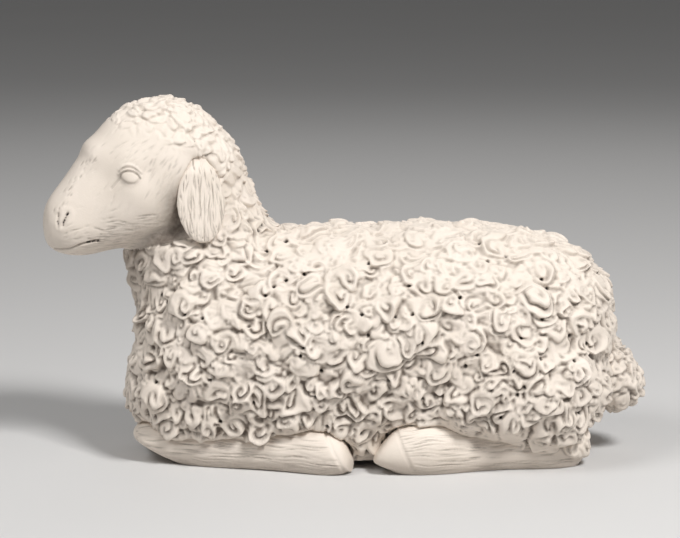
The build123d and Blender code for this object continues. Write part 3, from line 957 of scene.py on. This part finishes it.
def finish_casting(skin, node, paint, strength, marks):
    """Paints a casting that has no pits and makes its piece."""
    skin.keep("pit", np.zeros(skin.count))
    add_wash_and_painted_shade(skin, strength, marks)
    skin.mesh.shade_smooth()
    finish_piece(to_bmesh(skin.mesh), node + "_casting", node, paint)


def build_ear(node, paint, rng):
    """Hanging ear, drawn in at its root."""
    skin = Skin(even_mesh(solid_copy(node), EAR_GRAIN, CASTING_SOFTENING))
    below_top = skin.at[:, 2].max() - skin.at[:, 2]
    to_left = head_measures(skin.at)[1]
    inward = -LEFT * np.sign(to_left.mean())
    root = EAR_ROOT_SWELL * ease(12.0, 4.0, below_top)
    hair = comb(skin, rng, -UP, EAR_HAIR)
    skin.at += skin.out * (root - hair)[:, None]
    skin.at += inward * (EAR_SINK * ease(7.0, 0.0, below_top))[:, None]
    skin.refresh()
    finish_casting(skin, node, paint, 1.0, EAR_HAIR_WASH * ease(0.1, 0.45, hair))


def build_tail(settings, paint):
    """Short tail covered in small locks."""
    rng = np.random.default_rng(settings.seed + 3)
    form = Skin(even_mesh(solid_copy("tail"), FORM_GRAIN, CURLY_SOFTENING))
    spacing = settings.curl_spacing / MM * TAIL_CURL_SPACING
    lift = settings.curl_lift / MM * TAIL_CURL_LIFT
    curls = Curls(form, same(spacing), same(lift), rng, share=1.0)
    skin = Skin(even_mesh(to_bmesh(form.mesh), TAIL_GRAIN))
    calm = skin.calm(SMALL_CALM_ROUNDS)
    height = curls.raise_on(skin)
    skin.at += calm * (height - TAIL_SINK * lift)[:, None]
    skin.refresh()
    finish_casting(skin, "tail", paint, TAIL_WASH, 0.0)


def past_line(points, line):
    """How far points lie to the right of a line in side view, and the way straight across it."""
    (x0, z0), (x1, z1) = line
    across = unit(np.array([z1 - z0, 0.0, x0 - x1]))
    return (points - np.array([x0, 0.0, z0])) @ across, across


def hock_wool(points):
    """1 where the fleece hangs over the back of a hind leg, 0 on what is bare."""
    edge = np.interp(points[:, 0], HOCK_WOOL_PLACE, HOCK_WOOL_HEIGHT)
    return ease(-1.0, 2.0, points[:, 2] - edge) * (points[:, 0] > HOCK_WOOL_PLACE[0])


def grow_hock_wool(skin, node, settings, rng):
    """Raises locks of the fleece over the back of a hind leg."""
    spacing = settings.curl_spacing / MM * HOCK_CURL_SIZE
    lift = settings.curl_lift / MM * HOCK_CURL_SIZE

    def room(points, out):
        return np.where(hock_wool(points) > 0.4, spacing, 0.0)

    form = Skin(even_mesh(solid_copy(node), FORM_GRAIN, CURLY_SOFTENING))
    curls = Curls(form, room, same(lift), rng, share=1.0)
    bpy.data.meshes.remove(form.mesh)
    calm = skin.calm(SMALL_CALM_ROUNDS)
    cover = hock_wool(skin.at)
    height = (curls.raise_on(skin) + HOCK_CURL_BASE * lift) * cover
    skin.at += calm * height[:, None] + downhill(calm) * (settings.droop * height)[:, None]
    skin.relax(ROUNDING * cover)


def build_leg(node, settings, paint, rng):
    """Folded leg with its hoof, and with wool over the hock of a hind one."""
    skin = Skin(even_mesh(solid_copy(node), LEG_GRAIN, CASTING_SOFTENING))
    kind = node.split("_")[0]
    for slope in SLOPES[kind]:
        beyond, across = past_line(skin.at, slope)
        skin.at -= SLOPE_ROUNDING * np.logaddexp(0.0, beyond / SLOPE_ROUNDING)[:, None] * across
    skin.refresh()
    on_hoof = past_line(skin.at, CORONETS[kind])[0]
    sample = skin.at[::AXIS_STEP] - skin.at.mean(0)
    axis = unit(np.linalg.svd(sample, full_matrices=False)[2][0])
    hair = comb(skin, rng, axis, LEG_HAIR) * ease(0.4, -0.8, on_hoof)
    hoof = CORONET_DEPTH * bell(on_hoof, CORONET_WIDTH) + HOOF_STEP * ease(0.0, 0.8, on_hoof)
    standing = ease(0.2, 1.2, skin.at[:, 2])
    if kind == "hind":
        hair = hair * (1.0 - hock_wool(skin.at))
    skin.at -= skin.out * ((hair + hoof) * standing)[:, None]
    skin.refresh()
    if kind == "hind":
        grow_hock_wool(skin, node, settings, rng)
        skin.refresh()
    # Painted shade towards the floor
    sole_shade = SOLE_PAINTED_SHADE * ease(7.0, 0.0, skin.at[:, 2])
    finish_casting(skin, node, paint, 1.0, np.maximum(LEG_HAIR_WASH * ease(0.1, 0.4, hair), sole_shade))


# Materials

class Value:
    """A shader socket that takes part in sums."""

    def __init__(self, graph, socket):
        self.graph = graph
        self.socket = socket

    def sum(self, operation, *values):
        return self.graph.node("ShaderNodeMath", {"operation": operation}, values)

    def __sub__(self, other):
        return self.sum("SUBTRACT", self, other)

    def __mul__(self, other):
        return self.sum("MULTIPLY", self, other)

    def __radd__(self, other):
        return self.sum("ADD", other, self)

    def __rmul__(self, other):
        return self.sum("MULTIPLY", other, self)

    def clamped(self):
        return self.graph.node("ShaderNodeClamp", {}, (self,))


class Graph:
    """Nodes of one material."""

    def __init__(self, name):
        self.material = bpy.data.materials.new(name)
        self.material.use_nodes = True
        self.tree = self.material.node_tree
        self.shader = self.tree.nodes["Principled BSDF"]

    def node(self, kind, settings, values, output=0):
        """Adds a node, sets it up, then sets or links its sockets."""
        node = self.tree.nodes.new(kind)
        for name, setting in settings.items():
            setattr(node, name, setting)
        items = values.items() if isinstance(values, dict) else enumerate(values)
        for key, value in items:
            self.put(node.inputs[key], value)
        return Value(self, node.outputs[output])

    def put(self, socket, value):
        if isinstance(value, Value):
            self.tree.links.new(value.socket, socket)
        else:
            socket.default_value = value

    def set(self, **values):
        for name, value in values.items():
            self.put(self.shader.inputs[name.replace("_", " ")], value)

    def blend(self, factor, first, second):
        """Colour between two others."""
        mix = self.tree.nodes.new("ShaderNodeMix")
        mix.data_type = "RGBA"
        for key, value in ((0, factor), (6, first), (7, second)):
            self.put(mix.inputs[key], value)
        return Value(self, mix.outputs[2])

    def place(self):
        return self.node("ShaderNodeTexCoord", {}, {}, "Object")

    def noise(self, scale, detail=2.0, stretch=(1.0, 1.0, 1.0)):
        where = self.node("ShaderNodeMapping", {}, {"Vector": self.place(), "Scale": stretch})
        return self.node(
            "ShaderNodeTexNoise", {}, {"Vector": where, "Scale": scale, "Detail": detail}, "Fac")

    def field(self, name):
        return self.node("ShaderNodeAttribute", {"attribute_name": name}, {}, "Fac")

    def bump(self, height, distance, strength):
        return self.node(
            "ShaderNodeBump", {}, {"Strength": strength, "Distance": distance, "Height": height}, "Normal")


def rgba(colour):
    """A colour with full cover."""
    return (*colour, 1.0)


def ivory_paint(settings):
    """Brushed ivory top coat over a thin wash that stays in the hollows, with painted shade laid in the
    same colour and near-black painted shade in the pits.
    """
    graph = Graph("ivory_paint")
    blotch = graph.noise(60.0, 6.0)
    speck = graph.noise(700.0, 2.0)
    wash_and_painted_shade = graph.field("wash_and_painted_shade")
    # The wash colour covers the hollows and the painted shade
    wash_and_shade_cover = (wash_and_painted_shade * (0.75 + 0.5 * speck)).clamped()
    second = [c * k for c, k in zip(settings.ivory, (0.86, 0.85, 0.82))]
    coat = graph.blend(blotch, rgba(settings.ivory), rgba(second))
    coat = graph.blend(wash_and_shade_cover, coat, rgba(settings.wash_and_painted_shade))
    # Near-black painted shade in the pits
    coat = graph.blend(graph.field("pit"), coat, rgba(settings.pinhole_painted_shade))
    graph.set(Base_Color=coat, Roughness=settings.roughness + 0.16 * (blotch - 0.5),
              Specular_IOR_Level=0.35, Normal=graph.bump(graph.noise(1500.0, 3.0), 0.0001, 0.35))
    return graph.material


def bare_resin():
    """Unpainted casting of the belly plate."""
    graph = Graph("bare_resin")
    cloud = graph.noise(60.0, 3.0)
    coat = graph.blend(cloud, rgba((0.62, 0.55, 0.47)), rgba((0.74, 0.66, 0.57)))
    graph.set(Base_Color=coat, Roughness=0.62 + 0.1 * cloud,
              Normal=graph.bump(graph.noise(900.0), 0.0001, 0.3))
    return graph.material


def turned_wood():
    """Straight-grained dowel."""
    graph = Graph("turned_wood")
    grain = graph.noise(420.0, 4.0, (1.0, 1.0, 0.08))
    coat = graph.blend(grain, rgba((0.33, 0.19, 0.09)), rgba((0.62, 0.43, 0.25)))
    graph.set(Base_Color=coat, Roughness=0.5 + 0.2 * grain, Normal=graph.bump(grain, 0.0001, 0.4))
    return graph.material


def steel_wire():
    """Drawn wire with fine lengthwise marks."""
    graph = Graph("steel_wire")
    marks = graph.noise(1600.0, 2.0, (1.0, 1.0, 0.05))
    coat = graph.blend(marks, rgba((0.46, 0.46, 0.47)), rgba((0.64, 0.64, 0.65)))
    graph.set(Base_Color=coat, Metallic=1.0, Roughness=0.28 + 0.2 * marks)
    return graph.material


def studio_floor(colour):
    """Plain matte floor."""
    graph = Graph("studio_floor")
    drift = graph.noise(3.0, 1.0)
    coat = graph.blend(drift, rgba(colour), rgba([c * 0.97 for c in colour]))
    graph.set(Base_Color=coat, Roughness=0.85)
    return graph.material


def dress(node, material):
    """Gives a kept CAD node its finish."""
    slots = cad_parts[node].data.materials
    slots.clear()
    slots.append(material)


def paint_of(context):
    """The paint that all castings share, made once."""
    return bpy.data.materials.get("ivory_paint") or ivory_paint(context.scene.sheep_paint)


# Operators

class SHEEP_OT_casting(bpy.types.Operator):
    """Models the fleece in slabs from breast to rump, and the head with its wool cap"""

    bl_idname = "sheep.casting"
    bl_label = "Fleece and Head"

    def execute(self, context):
        build_casting(context.scene.sheep_fleece, paint_of(context))
        return {"FINISHED"}


class SHEEP_OT_ears(bpy.types.Operator):
    """Models the hanging ears"""

    bl_idname = "sheep.ears"
    bl_label = "Ears"

    def execute(self, context):
        rng = np.random.default_rng(context.scene.sheep_fleece.seed + 1)
        for node in ("ear_left", "ear_right"):
            build_ear(node, paint_of(context), rng)
        return {"FINISHED"}


class SHEEP_OT_tail(bpy.types.Operator):
    """Models the curly tail"""

    bl_idname = "sheep.tail"
    bl_label = "Tail"

    def execute(self, context):
        build_tail(context.scene.sheep_fleece, paint_of(context))
        return {"FINISHED"}


class SHEEP_OT_legs(bpy.types.Operator):
    """Models the four folded legs"""

    bl_idname = "sheep.legs"
    bl_label = "Legs"

    def execute(self, context):
        rng = np.random.default_rng(context.scene.sheep_fleece.seed + 2)
        for node in ("front_leg_left", "front_leg_right", "hind_leg_left", "hind_leg_right"):
            build_leg(node, context.scene.sheep_fleece, paint_of(context), rng)
        return {"FINISHED"}


class SHEEP_OT_fixings(bpy.types.Operator):
    """Finishes the belly plate, the dowel and the pins"""

    bl_idname = "sheep.fixings"
    bl_label = "Fixings"

    def execute(self, context):
        dress("belly_plate", bare_resin())
        dress("neck_dowel", turned_wood())
        wire = steel_wire()
        for node in ("ear_pins", "tail_pin", "front_leg_pins", "hind_leg_pins"):
            dress(node, wire)
        return {"FINISHED"}


# Stage. Lights have a name, a place and a width in metres, and a power in watts.

FLOOR_HALF_SIZE = 6.0
LIGHT_AIM = (0.0, 0.0, 0.06)
LIGHTS = (
    ("key", (0.5, -0.65, 0.95), 0.28, 14.0),
    ("fill", (-0.65, -0.5, 1.0), 0.5, 5.5),
    ("back", (0.1, 0.9, 0.9), 0.8, 1.5),
)
ROOM_GREY = (0.8, 0.8, 0.8)
ROOM_STRENGTH = 0.18
CAMERA_AIM = (-2.6, 0.0, 73.2)


def lay_floor(scene, colour):
    """Level floor under the figurine."""
    plane = bmesh.new()
    bmesh.ops.create_grid(plane, x_segments=1, y_segments=1, size=FLOOR_HALF_SIZE)
    floor = bpy.data.objects.new("floor", to_mesh(plane, "floor"))
    scene.collection.objects.link(floor)
    floor.data.materials.append(studio_floor(colour))


def area_light(scene, name, place, width, watts):
    """Soft light that points at the figurine."""
    light = bpy.data.lights.new(name, "AREA")
    light.size = width
    light.energy = watts
    lamp = bpy.data.objects.new(name, light)
    lamp.location = place
    lamp.rotation_euler = (Vector(LIGHT_AIM) - Vector(place)).to_track_quat("-Z", "Y").to_euler()
    scene.collection.objects.link(lamp)


def light_room(scene):
    """Even grey light from all round."""
    world = bpy.data.worlds.new("studio")
    world.use_nodes = True
    backdrop = world.node_tree.nodes["Background"]
    backdrop.inputs["Color"].default_value = rgba(ROOM_GREY)
    backdrop.inputs["Strength"].default_value = ROOM_STRENGTH
    scene.world = world


def place_camera(scene, stage):
    """Camera that looks at the figurine's left side."""
    aim = Vector(CAMERA_AIM) * MM
    away = Vector((0.0, -math.cos(stage.elevation), math.sin(stage.elevation)))
    data = bpy.data.cameras.new("camera")
    data.lens = stage.lens
    camera = bpy.data.objects.new("camera", data)
    camera.location = aim + away * stage.distance
    camera.rotation_euler = (-away).to_track_quat("-Z", "Y").to_euler()
    scene.collection.objects.link(camera)
    scene.camera = camera


class SHEEP_OT_stage(bpy.types.Operator):
    """Sets the floor, the lights and the camera"""

    bl_idname = "sheep.stage"
    bl_label = "Stage"

    def execute(self, context):
        scene = context.scene
        lay_floor(scene, scene.sheep_stage.floor)
        for light in LIGHTS:
            area_light(scene, *light)
        light_room(scene)
        place_camera(scene, scene.sheep_stage)
        scene.view_settings.view_transform = "Standard"
        return {"FINISHED"}


OPERATORS = (SHEEP_OT_casting, SHEEP_OT_ears, SHEEP_OT_tail, SHEEP_OT_legs,
             SHEEP_OT_fixings, SHEEP_OT_stage)
GROUPS = {"sheep_fleece": FleeceSettings, "sheep_paint": PaintSettings, "sheep_stage": StageSettings}


class SHEEP_PT_panel(bpy.types.Panel):
    """Lists the pieces of the figurine"""

    bl_idname = "SHEEP_PT_panel"
    bl_label = "Sheep Figurine"
    bl_space_type = "VIEW_3D"
    bl_region_type = "UI"
    bl_category = "Sheep"

    def draw(self, context):
        for operator in OPERATORS:
            self.layout.operator(operator.bl_idname)
        for name, group in GROUPS.items():
            box = self.layout.box()
            for setting in group.__annotations__:
                box.prop(getattr(context.scene, name), setting)


def register():
    for group in GROUPS.values():
        bpy.utils.register_class(group)
    for name, group in GROUPS.items():
        setattr(bpy.types.Scene, name, bpy.props.PointerProperty(type=group))
    for operator in OPERATORS:
        bpy.utils.register_class(operator)
    bpy.utils.register_class(SHEEP_PT_panel)


def unregister():
    bpy.utils.unregister_class(SHEEP_PT_panel)
    for operator in reversed(OPERATORS):
        bpy.utils.unregister_class(operator)
    for name, group in GROUPS.items():
        delattr(bpy.types.Scene, name)
        bpy.utils.unregister_class(group)


def write_sizes():
    """Updates the view layer."""
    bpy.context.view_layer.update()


def main():
    register()
    for operator in OPERATORS:
        group, name = operator.bl_idname.split(".")
        getattr(getattr(bpy.ops, group), name)()
    write_sizes()


if __name__ == "__main__":
    main()
